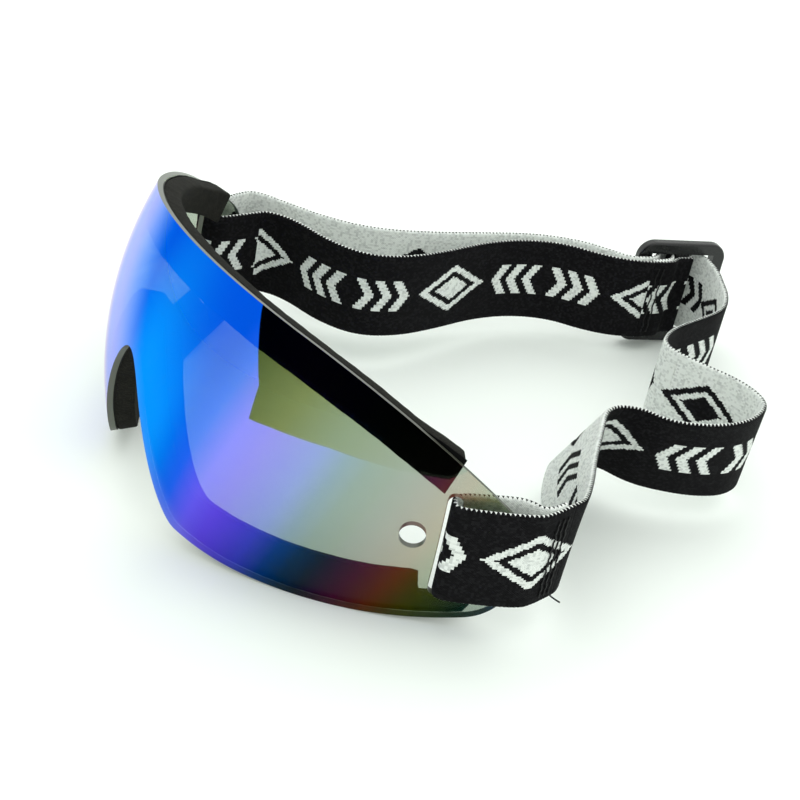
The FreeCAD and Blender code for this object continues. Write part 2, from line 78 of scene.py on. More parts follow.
def lens_point(station, level, depth=0.0):
    """Lens surface: two tangent plan arcs give the place and heading at a station
    along the face, and an upright arc through it gives the level and the depth."""
    station, level, depth = np.broadcast_arrays(
        np.asarray(station, float), level, depth
    )
    along = np.abs(station)
    turn = np.minimum(along, BROW_ARC) / BROW_RADIUS
    total = turn + np.maximum(along - BROW_ARC, 0.0) / TEMPLE_RADIUS
    x = BROW_RADIUS * np.sin(turn) + TEMPLE_RADIUS * (np.sin(total) - np.sin(turn))
    y = BROW_RADIUS * (1 - np.cos(turn)) + TEMPLE_RADIUS * (np.cos(turn) - np.cos(total))
    angle = level / CROWN_RADIUS
    reach = (np.cos(angle) - 1.0) * CROWN_RADIUS - depth * np.cos(angle)
    x = np.sign(station) * (x + reach * np.sin(total))
    z = (CROWN_RADIUS - depth) * np.sin(angle)
    return np.stack([x, y - reach * np.cos(total), z], axis=-1)


def smooth_step(value, start, end):
    """From 0 at the start to 1 at the end on the cubic that is level at both."""
    share = np.clip((value - start) / (end - start), 0.0, 1.0)
    return share * share * (3.0 - 2.0 * share)


def brow_edge(station):
    """Upper edge: a parabola that steepens towards the temples."""
    share = (station / 100.0) ** 2
    return BROW_MIDDLE - BROW_FALL * share - BROW_STEEPER * share**2


def lobe_line(station):
    """Lowest line of the cheeks: a shallow parabola about each lobe."""
    return LOBE_RISE * ((np.abs(station) - LOBE_MIDDLE) / LOBE_REACH) ** 2 + LOBE_LOW


def cheek_edge(station):
    """Lower edge: the lobe line, lifted smoothly over the nose."""
    low = lobe_line(station)
    return low + (NOSE_LEVEL - low) * (1.0 - smooth_step(np.abs(station), 0.0, NOSE_REACH))


def corner_drop(station):
    """How far a round corner cuts in at a station near the lens's end."""
    past = np.clip(np.abs(station) - (LENS_HALF_LENGTH - END_CORNER), 0.0, END_CORNER)
    return END_CORNER - np.sqrt(END_CORNER**2 - past**2)


def hole_distance(station, level):
    """Signed distance from the nearest hole: a lens end's leaning slot, whose ends
    are round, or its vent. Negative inside."""
    along = np.abs(station)
    lean = math.radians(SLOT_LEAN)
    across = (along - SLOT_STATION) * math.cos(lean) + (level - SLOT_LEVEL) * math.sin(lean)
    up = (level - SLOT_LEVEL) * math.cos(lean) - (along - SLOT_STATION) * math.sin(lean)
    straight = (SLOT_LENGTH - SLOT_WIDTH) / 2.0
    slot = np.hypot(across, np.maximum(np.abs(up) - straight, 0.0)) - SLOT_WIDTH / 2.0
    vent = np.hypot(along - VENT_STATION, level - VENT_LEVEL) - VENT_RADIUS
    return np.minimum(slot, vent)


# The grid is 1 mm across the face, finer where the holes are, and follows the corners
FINE_FROM, COARSE_STEP, FINE_STEP = 74.0, 1.0, 0.5
CORNER_SWEEP, CORNER_COLUMNS = 88.0, 14
LENS_ROWS = 84
corner_from = LENS_HALF_LENGTH - END_CORNER
middle = np.arange(0.0, FINE_FROM, COARSE_STEP)
ends = np.arange(FINE_FROM, corner_from, FINE_STEP)
sweep = np.radians(np.linspace(0.0, CORNER_SWEEP, CORNER_COLUMNS))
half = np.concatenate([middle, ends, corner_from + END_CORNER * np.sin(sweep)])
columns = np.concatenate([-half[:0:-1], half])
height = np.linspace(0.0, 1.0, LENS_ROWS)
station = np.repeat(columns[:, None], LENS_ROWS, axis=1)
bottom = cheek_edge(columns) + corner_drop(columns)
top = brow_edge(columns) - corner_drop(columns)
level = bottom[:, None] + (top - bottom)[:, None] * height[None, :]

place = np.arange(station.size).reshape(station.shape)
quads = np.stack([place[:-1, :-1], place[1:, :-1], place[1:, 1:], place[:-1, 1:]], -1)
quads = quads.reshape(-1, 4)
station, level = station.ravel(), level.ravel()
inside = hole_distance(station[quads].mean(1), level[quads].mean(1)) < 0.0
# The ring of corners round each hole is drawn onto the hole's outline
ring = np.intersect1d(quads[inside], quads[~inside])
SLOPE_STEP = 0.01
away = hole_distance(station[ring], level[ring])
slope_along = (hole_distance(station[ring] + SLOPE_STEP, level[ring]) - away) / SLOPE_STEP
slope_up = (hole_distance(station[ring], level[ring] + SLOPE_STEP) - away) / SLOPE_STEP
station[ring] -= slope_along * away
level[ring] -= slope_up * away
kept, quads = np.unique(quads[~inside], return_inverse=True)
quads = quads.reshape(-1, 4)
station, level = station[kept], level[kept]

# Two skins and the rim between them: an edge that only one face has is on the rim
count = len(kept)
edge_corners = ([0, 1], [1, 2], [2, 3], [3, 0])
edges = np.concatenate([quads[:, corners] for corners in edge_corners])
known, owners = np.unique(np.sort(edges, axis=1), axis=0, return_counts=True)
rim_codes = known[owners == 1] @ np.array([count, 1])
on_rim = np.isin(np.sort(edges, axis=1) @ np.array([count, 1]), rim_codes)
before, after = edges[on_rim].T
rim = np.stack([after, before, before + count, after + count], -1)
skins = [lens_point(station, level, 0.0), lens_point(station, level, LENS_THICKNESS)]
lens_faces = np.concatenate([quads, quads[:, ::-1] + count, rim])
lens_shell = turned(np.concatenate(skins), -LENS_LEAN - REST_LEAN)

# The lens's own zero, the middle of its front, is found from the lens in the frame
lens_low, lens_high = (np.array(corner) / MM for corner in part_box("lens"))
LENS_ZERO = np.array(
    [
        (lens_low[0] + lens_high[0]) / 2.0,
        lens_low[1] - lens_shell[:, 1].min(),
        lens_low[2] - lens_shell[:, 2].min(),
    ]
)


def make_piece(name, points, faces, materials, face_material=None):
    """A smooth mesh from points in millimetres in the row frame and their faces."""
    mesh = bpy.data.meshes.new(name)
    mesh.from_pydata((np.asarray(points) * MM).tolist(), [], [list(f) for f in faces])
    for material in materials:
        mesh.materials.append(material)
    if face_material is not None:
        mesh.polygons.foreach_set("material_index", np.asarray(face_material, np.int32))
    mesh.polygons.foreach_set("use_smooth", np.ones(len(mesh.polygons), bool))
    mesh.update()
    piece = bpy.data.objects.new(name, mesh)
    bpy.context.scene.collection.objects.link(piece)
    return piece


def point_attribute(piece, name, values):
    """Stores one vector a point, which the piece's material reads."""
    attribute = piece.data.attributes.new(name, "FLOAT_VECTOR", "POINT")
    attribute.data.foreach_set("vector", np.asarray(values, np.float32).ravel())


def linear(colour):
    """Linear colour of an sRGB hex value: each channel to the power of its curve."""
    share = np.array([int(colour[i : i + 2], 16) for i in (0, 2, 4)]) / 255.0
    bright = ((share + 0.055) / 1.055) ** 2.4
    return tuple(np.where(share > 0.04045, bright, share / 12.92)) + (1.0,)


def add(tree, kind, inputs=None, **settings):
    """A new node with its settings, whose inputs are linked to sockets or hold values."""
    node = tree.nodes.new("ShaderNode" + kind)
    for key, value in settings.items():
        setattr(node, key, value)
    for key, value in (inputs or {}).items():
        if isinstance(value, bpy.types.NodeSocket):
            tree.links.new(value, node.inputs[key])
        else:
            node.inputs[key].default_value = value
    return node


def new_material(name):
    """An empty material, its node tree and its output node."""
    material = bpy.data.materials.new(name)
    material.use_nodes = True
    material.node_tree.nodes.clear()
    return material, material.node_tree, add(material.node_tree, "OutputMaterial")


def ramp_stops(ramp, stops, reach):
    """Puts hex colours on a ramp at places given in millimetres out of a reach."""
    elements = ramp.color_ramp.elements
    while len(elements) < len(stops):
        elements.new(0.5)
    for element, (place, colour) in zip(elements, stops):
        element.position = place / reach
        element.color = linear(colour)


# Mirror coating on polycarbonate: vapour-laid oxide layers, blue at the front and
# thinner towards the temples, where the reflection runs through purple, red, olive and
# teal and the sheet shows through. Both colours are given by the place along the face.
COAT_REACH = 110.0
HUE_LEAN, HUE_LEVEL = 0.34, -25.0
REFLECTED = (
    (0.0, "0053dd"),
    (16.0, "0050d9"),
    (22.0, "1c5ae4"),
    (29.0, "6355eb"),
    (35.0, "5c42dd"),
    (42.0, "463bc7"),
    (46.0, "353bb8"),
    (52.0, "00347b"),
    (57.0, "00284d"),
    (62.0, "091830"),
    (66.0, "280f2e"),
    (71.0, "400b2a"),
    (78.0, "551f07"),
    (84.0, "393200"),
    (88.0, "2c3400"),
    (97.0, "06251d"),
    (106.0, "071d35"),
)
LET_THROUGH = (
    (0.0, "656824"),
    (20.0, "66763a"),
    (36.0, "909b63"),
    (48.0, "9ead90"),
    (64.0, "adb6a9"),
    (106.0, "b2b9b0"),
)
# Seen at a slant the layers look paler: shares of the turn from face on to edge on
OBLIQUE_AZURE = "048af2"
OBLIQUE_FROM, OBLIQUE_FULL = 0.15, 0.5
GRAZING_BLUE = "a2a8f0"
BLUE_FROM, BLUE_FULL = 0.5, 0.78
GRAZING_PALE = "e4d8ee"
PALE_FROM, PALE_FULL = 0.82, 0.97
# The azure keeps to the front: it fades towards the temples and towards the brow
AZURE_FULL, AZURE_END = 8.0, 23.0
BROW_END, BROW_FULL = -22.0, 0.0
COAT_ROUGHNESS = 0.02

coating, tree, output = new_material("mirror_coated_polycarbonate")
on_face = add(tree, "Attribute", attribute_name="on_face")
split = add(tree, "SeparateXYZ", {0: on_face.outputs["Vector"]})
along = add(tree, "Math", {0: split.outputs[0]}, operation="ABSOLUTE")
above = add(tree, "Math", {0: split.outputs[1], 1: HUE_LEVEL}, operation="SUBTRACT")
drift_inputs = {0: above.outputs[0], 1: -HUE_LEAN, 2: along.outputs[0]}
drift = add(tree, "Math", drift_inputs, operation="MULTIPLY_ADD").outputs[0]
hue_place = add(tree, "Math", {0: drift, 1: COAT_REACH}, operation="DIVIDE")
reflected = add(tree, "ValToRGB", {0: hue_place.outputs[0]})
ramp_stops(reflected, REFLECTED, COAT_REACH)
let_through = add(tree, "ValToRGB", {0: hue_place.outputs[0]})
ramp_stops(let_through, LET_THROUGH, COAT_REACH)
facing = add(tree, "LayerWeight", {"Blend": 0.5}).outputs["Facing"]
oblique, temple_fade, brow_fade, violet_share, pale_share = (
    add(
        tree,
        "MapRange",
        {0: source, 1: start, 2: end, 3: low, 4: 1.0 - low},
        interpolation_type="SMOOTHSTEP",
    ).outputs[0]
    for source, start, end, low in (
        (facing, OBLIQUE_FROM, OBLIQUE_FULL, 0.0),
        (drift, AZURE_FULL, AZURE_END, 1.0),
        (drift, BROW_END, BROW_FULL, 0.0),
        (facing, BLUE_FROM, BLUE_FULL, 0.0),
        (facing, PALE_FROM, PALE_FULL, 0.0),
    )
)
front_share = add(tree, "Math", {0: brow_fade, 1: temple_fade}, operation="MULTIPLY")
azure_share = add(tree, "Math", {0: oblique, 1: front_share.outputs[0]}, operation="MULTIPLY")
coat_colour = reflected.outputs[0]
for share, colour in (
    (azure_share.outputs[0], OBLIQUE_AZURE),
    (violet_share, GRAZING_BLUE),
    (pale_share, GRAZING_PALE),
):
    mix = add(tree, "Mix", {0: share, 6: coat_colour, 7: linear(colour)}, data_type="RGBA")
    coat_colour = mix.outputs[2]
mirror = add(tree, "BsdfGlossy", {"Color": coat_colour, "Roughness": COAT_ROUGHNESS})
clearing_inputs = {0: pale_share, 6: let_through.outputs[0], 7: linear("000000")}
clearing = add(tree, "Mix", clearing_inputs, data_type="RGBA")
sheet = add(tree, "BsdfTransparent", {"Color": clearing.outputs[2]})
both = add(tree, "AddShader", {0: mirror.outputs[0], 1: sheet.outputs[0]})
tree.links.new(both.outputs[0], output.inputs["Surface"])

# Inner skin: clear polished polycarbonate, which only shines where it is seen at a slant
SLANT_POWER, SLANT_SHINE, FACE_ON_SHINE = 5.0, 0.6, 0.04
inner_skin, tree, output = new_material("clear_polycarbonate")
gloss = add(tree, "BsdfGlossy", {"Color": linear("ffffff"), "Roughness": 0.03})
clear = add(tree, "BsdfTransparent", {"Color": linear("f6f8f4")})
facing = add(tree, "LayerWeight", {"Blend": 0.5}).outputs["Facing"]
steep = add(tree, "Math", {0: facing, 1: SLANT_POWER}, operation="POWER")
shine_inputs = {0: steep.outputs[0], 1: SLANT_SHINE, 2: FACE_ON_SHINE}
shine = add(tree, "Math", shine_inputs, operation="MULTIPLY_ADD")
inner_mix = add(tree, "MixShader", {0: shine.outputs[0], 1: clear.outputs[0], 2: gloss.outputs[0]})
tree.links.new(inner_mix.outputs[0], output.inputs["Surface"])

# Cut edge: bare polycarbonate left satin by the cutter, grey because it is seen end on
cut_edge, tree, output = new_material("cut_polycarbonate_edge")
edge_shader = add(
    tree,
    "BsdfPrincipled",
    {
        "Base Color": linear("484b40"),
        "Roughness": 0.32,
        "IOR": 1.585,
        "Transmission Weight": 0.15,
    },
)
tree.links.new(edge_shader.outputs[0], output.inputs["Surface"])

EDGE_ROUND, EDGE_SHARPNESS = 0.22, 50.0
face_kind = np.repeat([0, 1, 2], [len(quads), len(quads), len(rim)])
lens_skins = [coating, inner_skin, cut_edge]
lens = make_piece("lens_sheet", lens_shell + LENS_ZERO, lens_faces, lens_skins, face_kind)
places = np.stack([np.tile(station, 2), np.tile(level, 2), np.zeros(2 * count)], -1)
point_attribute(lens, "on_face", places)
edge_round = lens.modifiers.new("edge_round", "BEVEL")
edge_round.width = EDGE_ROUND * MM
edge_round.segments = 2
edge_round.limit_method = "ANGLE"
edge_round.angle_limit = math.radians(EDGE_SHARPNESS)
edge_round.harden_normals = True
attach(lens, "goggles")
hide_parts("lens")


# Foam: two strips die-cut from black open-cell sheet, 5 mm thick, each held to the
# lens by a film of adhesive. The knife leaves square edges that the cells soften.
BOND_GAP = 0.06
TAPE_THICKNESS = 0.25
FOAM_THICKNESS = 5.0
BROW_FOAM_WIDTH, BROW_FOAM_HALF_LENGTH = 9.0, 85.0
CHEEK_FOAM_WIDTH, CHEEK_FOAM_END_WIDTH, CHEEK_FOAM_HALF_LENGTH = 14.0, 6.4, 98.5
NOSE_FOAM_HEIGHT = 16.0
CELL_MM = 0.45
GRAIN_MM, PIT_DEPTH = 2.2, 0.25
END_SLANT, SLANTED_LENGTH = 0.28, 12.0
SHAVED, SHAVED_FROM, SHAVED_FULL = 4.2, 8.0, 26.0
NARROW_FROM, NARROW_FULL = SLOT_STATION - SLOT_WIDTH - 0.4, SLOT_STATION - SLOT_WIDTH + 1.8
BRIDGE_FROM, BRIDGE_END = 4.0, 30.0
KNIFE_WANDER = 0.05


def brow_foam_bottom(station):
    """Lower edge of the upper strip: the brow edge less the strip's width."""
    return brow_edge(station) - BROW_FOAM_WIDTH


def cheek_foam_top(station):
    """Upper edge of the lower strip: a constant width, narrow under the slot, that
    rises to the bridge of the nose."""
    along = np.abs(station)
    narrow = smooth_step(along, NARROW_FROM, NARROW_FULL)
    low = lobe_line(station) + CHEEK_FOAM_WIDTH
    low = low - (CHEEK_FOAM_WIDTH - CHEEK_FOAM_END_WIDTH) * narrow
    off_bridge = smooth_step(along, BRIDGE_FROM, BRIDGE_END)
    return NOSE_FOAM_HEIGHT + (low - NOSE_FOAM_HEIGHT) * off_bridge


def strip_profile(radius, steps):
    """Round-cornered rectangle as shares of its width and depth with offsets in
    millimetres: a quarter turn at each corner and even steps along the wide faces."""
    rows = []
    for across, deep, start in ((0, 0, 180), (0, 1, 90), (1, 1, 0), (1, 0, 270)):
        for degrees in (start + 90, start + 60, start + 30, start):
            angle = math.radians(degrees)
            inward = (1 - 2 * across, 1 - 2 * deep)
            rows.append(
                (
                    across,
                    inward[0] * radius + radius * math.cos(angle),
                    deep,
                    inward[1] * radius + radius * math.sin(angle),
                )
            )
        if (across, deep) in ((0, 1), (1, 0)):
            for share in np.linspace(0.0, 1.0, steps + 2)[1:-1]:
                rows.append((share if deep else 1.0 - share, 0.0, deep, 0.0))
    return np.array(rows, float)


def ring_faces(rings, around):
    """Quads between closed rings of points, and one cap at each end."""
    place = np.arange(rings * around).reshape(rings, around)
    after = np.roll(place, -1, axis=1)
    sides = np.stack([place[:-1], after[:-1], after[1:], place[1:]], -1).reshape(-1, 4)
    return sides.tolist() + [place[0][::-1].tolist(), place[-1].tolist()]


def lens_strip(name, reach, edges, depths, radius, material, shaved=0.0):
    """A band on the inside of the lens: a round-cornered profile carried along it, with
    ends rounded like its edges. Away from the nose its back may be shaved lower."""
    low_edge, high_edge = edges
    front, back = depths
    straight = np.arange(-reach + radius, reach - radius, 1.0)
    turn = np.radians(np.linspace(0.0, 80.0, 4))
    tip = reach - radius + radius * np.sin(turn)
    stations = np.concatenate([-tip[::-1], straight[1:], tip])
    round_off = radius * (1 - np.cos(turn))
    inset = np.concatenate([round_off[::-1], 0.0 * straight[1:], round_off])
    share, offset, deep, into = strip_profile(radius, 6).T
    low, high = low_edge(stations) + inset, high_edge(stations) - inset
    # The knife wanders in waves 20 mm, 7.6 mm and 3.7 mm long
    knife = np.sin(stations * 0.31)
    knife += 0.6 * np.sin(stations * 0.83 + 1.0) + 0.5 * np.sin(stations * 1.7)
    low, high = low + KNIFE_WANDER * knife, high - KNIFE_WANDER * np.roll(knife, 7)
    away = smooth_step(np.abs(stations), SHAVED_FROM, SHAVED_FULL)
    level = low[:, None] + (high - low)[:, None] * share + offset
    level -= shaved * away[:, None] * share * deep
    depth = (front + inset)[:, None] + (back - front - 2 * inset)[:, None] * deep + into
    slant = END_SLANT * smooth_step(np.abs(stations), reach - SLANTED_LENGTH, reach)
    side = np.sign(stations)[:, None]
    along = stations[:, None] + side * slant[:, None] * (level - low[:, None])
    points = turned(lens_point(along, level, depth), -LENS_LEAN - REST_LEAN) + LENS_ZERO
    faces = ring_faces(len(stations), len(share))
    return make_piece(name, points.reshape(-1, 3), faces, [material])


# Open-cell foam: matt black polyurethane sheet, whose skinless cells drink the light
foam_black, tree, output = new_material("open_cell_foam")
where = add(tree, "TexCoord").outputs["Object"]
cells = add(tree, "TexVoronoi", {"Vector": where, "Scale": 1.0 / (CELL_MM * MM)})
grain = add(tree, "TexNoise", {"Vector": where, "Scale": 1.0 / (GRAIN_MM * MM), "Detail": 4.0})
pore = add(tree, "MapRange", {0: cells.outputs["Distance"], 1: 0.15, 2: 0.55, 3: 1.0, 4: 0.35})
tone = add(tree, "Math", {0: pore.outputs[0], 1: grain.outputs["Fac"]}, operation="MULTIPLY")
foam_tones = {0: tone.outputs[0], 6: linear("0c0c0a"), 7: linear("34332d")}
foam_colour = add(tree, "Mix", foam_tones, data_type="RGBA")
pits = {"Height": cells.outputs["Distance"], "Strength": 0.6, "Distance": PIT_DEPTH * MM}
relief = add(tree, "Bump", pits)
foam_shader = add(
    tree,
    "BsdfPrincipled",
    {
        "Base Color": foam_colour.outputs[2],
        "Roughness": 0.95,
        "Normal": relief.outputs[0],
        "Specular IOR Level": 0.15,
    },
)
tree.links.new(foam_shader.outputs[0], output.inputs["Surface"])

# Adhesive film: black acrylic tape, smooth where it wets the lens and dull in patches
PATCH_MM = 6.0
tape_film, tree, output = new_material("black_adhesive_film")
where = add(tree, "TexCoord").outputs["Object"]
bubbles = add(tree, "TexNoise", {"Vector": where, "Scale": 1.0 / (PATCH_MM * MM), "Detail": 2.0})
rough = add(tree, "MapRange", {0: bubbles.outputs["Fac"], 1: 0.3, 2: 0.7, 3: 0.35, 4: 0.5})
film_shader = add(
    tree,
    "BsdfPrincipled",
    {
        "Base Color": linear("060607"),
        "Roughness": rough.outputs[0],
        "Specular IOR Level": 0.1,
    },
)
tree.links.new(film_shader.outputs[0], output.inputs["Surface"])

FILM_ROUND, PAD_ROUND = 0.1, 0.7
tape_front = LENS_THICKNESS + BOND_GAP
tape_back = tape_front + TAPE_THICKNESS
film_depths, pad_depths = (tape_front, tape_back), (tape_back, tape_back + FOAM_THICKNESS)
for name, reach, edges, shaved in (
    ("brow_foam", BROW_FOAM_HALF_LENGTH, (brow_foam_bottom, brow_edge), 0.0),
    ("nose_foam", CHEEK_FOAM_HALF_LENGTH, (cheek_edge, cheek_foam_top), SHAVED),
):
    film = lens_strip(
        name + "_film", reach, edges, film_depths, FILM_ROUND, tape_film
    )
    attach(film, "goggles")
    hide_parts(name + "_tape")
    pad = lens_strip(
        name + "_pad", reach, edges, pad_depths, PAD_ROUND, foam_black, shaved
    )
    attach(pad, "goggles")
    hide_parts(name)


# Strap: one length of 25 mm jacquard elastic, black outside and off-white inside, with
# the motif woven in the other face's yarn, so each face is the other's negative.
STRAP_WIDTH, STRAP_THICKNESS = 25.0, 1.3
PLY_STEP = STRAP_THICKNESS + 0.12
SELVEDGE_PITCH = 1.05
OUTER_PLY_CLEARANCE, INNER_PLY_CLEARANCE = 1.0, 2.0
BLACK_RIGHT, BLACK_LEFT = -1.0, 1.0
YARN_STEP, PICK_STEP = 0.62, 0.5
MOTIF_PITCH = 64.0
DIAMOND_HALF_LENGTH, DIAMOND_HALF_HEIGHT = 12.0, 7.5
RING_MIDDLE, RING_HALF, CORE_SHARE = 0.86, 0.13, 0.5
CHEVRON_STEP, CHEVRON_BAR, CHEVRON_SLANT = 5.0, 2.7, 0.62
CHEVRON_MIDDLE, CHEVRON_REACH, CHEVRON_HALF_HEIGHT = 21.3, 6.9, 5.0
WRAP_OVER, YARN_RELIEF = 0.42, 0.12

# Jacquard elastic: matt textured polyester over rubber cores. The yarns are drawn at
# their real 0.5 to 0.6 mm spacing, which gives the motif its stepped edges.
yarn, tree, output = new_material("jacquard_elastic")
woven = add(tree, "Attribute", attribute_name="woven")
split = add(tree, "SeparateXYZ", {0: woven.outputs["Vector"]})
run, across, through = split.outputs[0], split.outputs[1], split.outputs[2]
run_cell = add(tree, "Math", {0: run, 1: YARN_STEP}, operation="SNAP").outputs[0]
across_cell = add(tree, "Math", {0: across, 1: PICK_STEP}, operation="SNAP").outputs[0]
repeat_inputs = {0: run_cell, 1: MOTIF_PITCH / 2, 2: -MOTIF_PITCH / 2}
repeat = add(tree, "Math", repeat_inputs, operation="WRAP")
off_middle = add(tree, "Math", {0: repeat.outputs[0]}, operation="ABSOLUTE").outputs[0]
off_line = add(tree, "Math", {0: across_cell}, operation="ABSOLUTE").outputs[0]
# Nested diamonds, 24 mm by 15 mm
long_share = add(tree, "Math", {0: off_middle, 1: DIAMOND_HALF_LENGTH}, operation="DIVIDE")
diamond_inputs = {0: off_line, 1: 1 / DIAMOND_HALF_HEIGHT, 2: long_share.outputs[0]}
diamond = add(tree, "Math", diamond_inputs, operation="MULTIPLY_ADD").outputs[0]
ring_inputs = {0: diamond, 1: RING_MIDDLE, 2: RING_HALF}
ring_mask = add(tree, "Math", ring_inputs, operation="COMPARE")
core_mask = add(tree, "Math", {0: diamond, 1: CORE_SHARE}, operation="LESS_THAN")
# Three chevrons on each side, 10 mm high, that point at the diamonds
chevron_inputs = {0: off_line, 1: -CHEVRON_SLANT, 2: off_middle}
chevron_line = add(tree, "Math", chevron_inputs, operation="MULTIPLY_ADD").outputs[0]
chevron_step = add(tree, "Math", {0: chevron_line, 1: CHEVRON_STEP}, operation="MODULO")
bar_inputs = {0: chevron_step.outputs[0], 1: CHEVRON_BAR}
chevron_bar = add(tree, "Math", bar_inputs, operation="LESS_THAN")
zone_inputs = {0: chevron_line, 1: CHEVRON_MIDDLE, 2: CHEVRON_REACH}
chevron_zone = add(tree, "Math", zone_inputs, operation="COMPARE")
chevron_tall = add(tree, "Math", {0: off_line, 1: CHEVRON_HALF_HEIGHT}, operation="LESS_THAN")
some_inputs = {0: chevron_bar.outputs[0], 1: chevron_zone.outputs[0]}
chevron_some = add(tree, "Math", some_inputs, operation="MULTIPLY")
chevron_mask_inputs = {0: chevron_some.outputs[0], 1: chevron_tall.outputs[0]}
chevron_mask = add(tree, "Math", chevron_mask_inputs, operation="MULTIPLY")
rhomb_inputs = {0: ring_mask.outputs[0], 1: core_mask.outputs[0]}
rhomb_mask = add(tree, "Math", rhomb_inputs, operation="MAXIMUM")
motif_inputs = {0: rhomb_mask.outputs[0], 1: chevron_mask.outputs[0]}
motif = add(tree, "Math", motif_inputs, operation="MAXIMUM")
# The faces meet in the selvedge, where the yarns wrap over each other in turn
bead_turn = 2 * math.pi / SELVEDGE_PITCH
bead_phase = add(tree, "Math", {0: run, 1: bead_turn}, operation="MULTIPLY")
bead = add(tree, "Math", {0: bead_phase.outputs[0]}, operation="SINE")
bead_inputs = {0: bead.outputs[0], 1: WRAP_OVER, 2: through}
bead_line = add(tree, "Math", bead_inputs, operation="MULTIPLY_ADD")
pale_face = add(tree, "Math", {0: bead_line.outputs[0], 1: 0.0}, operation="LESS_THAN").outputs[0]
difference = add(tree, "Math", {0: pale_face, 1: motif.outputs[0]}, operation="SUBTRACT")
pale_yarn = add(tree, "Math", {0: difference.outputs[0]}, operation="ABSOLUTE")
# Here and there the other yarn peeps through a pick
cell_name = add(tree, "CombineXYZ", {0: run_cell, 1: across_cell, 2: pale_face})
chance = add(tree, "TexWhiteNoise", {"Vector": cell_name.outputs[0]}, noise_dimensions="3D")
peep = add(tree, "MapRange", {0: chance.outputs["Value"], 1: 0.45, 2: 1.0, 3: 0.0, 4: 0.5})
black_tones = {0: peep.outputs[0], 6: linear("0a090c"), 7: linear("242426")}
black_yarn = add(tree, "Mix", black_tones, data_type="RGBA")
white_tones = {0: peep.outputs[0], 6: linear("e6eae6"), 7: linear("9a9e9c")}
white_yarn = add(tree, "Mix", white_tones, data_type="RGBA")
cloth_tones = {0: pale_yarn.outputs[0], 6: black_yarn.outputs[2], 7: white_yarn.outputs[2]}
cloth_colour = add(tree, "Mix", cloth_tones, data_type="RGBA")
rib_phase = add(tree, "Math", {0: run, 1: 2 * math.pi / YARN_STEP}, operation="MULTIPLY")
rib = add(tree, "Math", {0: rib_phase.outputs[0]}, operation="SINE")
pick_phase = add(tree, "Math", {0: across, 1: 2 * math.pi / PICK_STEP}, operation="MULTIPLY")
pick = add(tree, "Math", {0: pick_phase.outputs[0]}, operation="SINE")
wear = add(tree, "TexNoise", {"Vector": woven.outputs["Vector"], "Scale": 0.9, "Detail": 3.0})
weave_inputs = {0: rib.outputs[0], 1: pick.outputs[0], 2: wear.outputs["Fac"]}
weave = add(tree, "Math", weave_inputs, operation="MULTIPLY_ADD")
relief = add(tree, "Bump", {"Height": weave.outputs[0], "Strength": 0.5, "Distance": YARN_RELIEF * MM})
cloth = add(
    tree,
    "BsdfPrincipled",
    {
        "Base Color": cloth_colour.outputs[2],
        "Roughness": 0.85,
        "Normal": relief.outputs[0],
        "Specular IOR Level": 0.12,
    },
)
tree.links.new(cloth.outputs[0], output.inputs["Surface"])


def at_lens(station, depth):
    """Where the strap's plan passes a station of the lens, a depth behind its face."""
    return turned(lens_point(station, SLOT_LEVEL, depth), -LENS_LEAN)[:2]


def strap_route(points, step):
    """The strap's line: a parabola at each point of the list, from the middle of one
    run to the middle of the next and tangent to both, measured off in equal steps."""
    points = np.asarray(points, float)
    joints = (points[1:-2] + points[2:-1]) / 2.0
    starts = np.vstack([points[:1], joints])[:, None]
    ends = np.vstack([joints, points[-1:]])[:, None]
    middles = points[1:-1][:, None]
    t = np.linspace(0.0, 1.0, 33)[:-1][None, :, None]
    line = (1 - t) ** 2 * starts + 2 * t * (1 - t) * middles + t**2 * ends
    line = np.vstack([line.reshape(-1, points.shape[1]), points[-1:]])
    travel = np.concatenate([[0.0], np.cumsum(np.hypot(*np.diff(line[:, :2], axis=0).T))])
    count = max(int(travel[-1] / step), 8)
    even = np.linspace(0.0, travel[-1], count)
    return even, np.stack([np.interp(even, travel, column) for column in line.T], axis=-1)


slot_point = turned(lens_point(SLOT_STATION, SLOT_LEVEL), -LENS_LEAN)
STRAP_MIDDLE = slot_point[2]
# The free routes are drawn from what carries them: an end of the lens or the slider
SLIDER_X, SLIDER_SET_BACK, SLIDER_HEADING = -20.6, 116.6, math.radians(76.0)
near_end = at_lens(LENS_HALF_LENGTH, 0.0)
far_end = at_lens(-LENS_HALF_LENGTH, 0.0)
slider_middle = np.array([SLIDER_X, near_end[1] + SLIDER_SET_BACK])


ACROSS_POINTS = 21
BEAD_RISE = 0.13


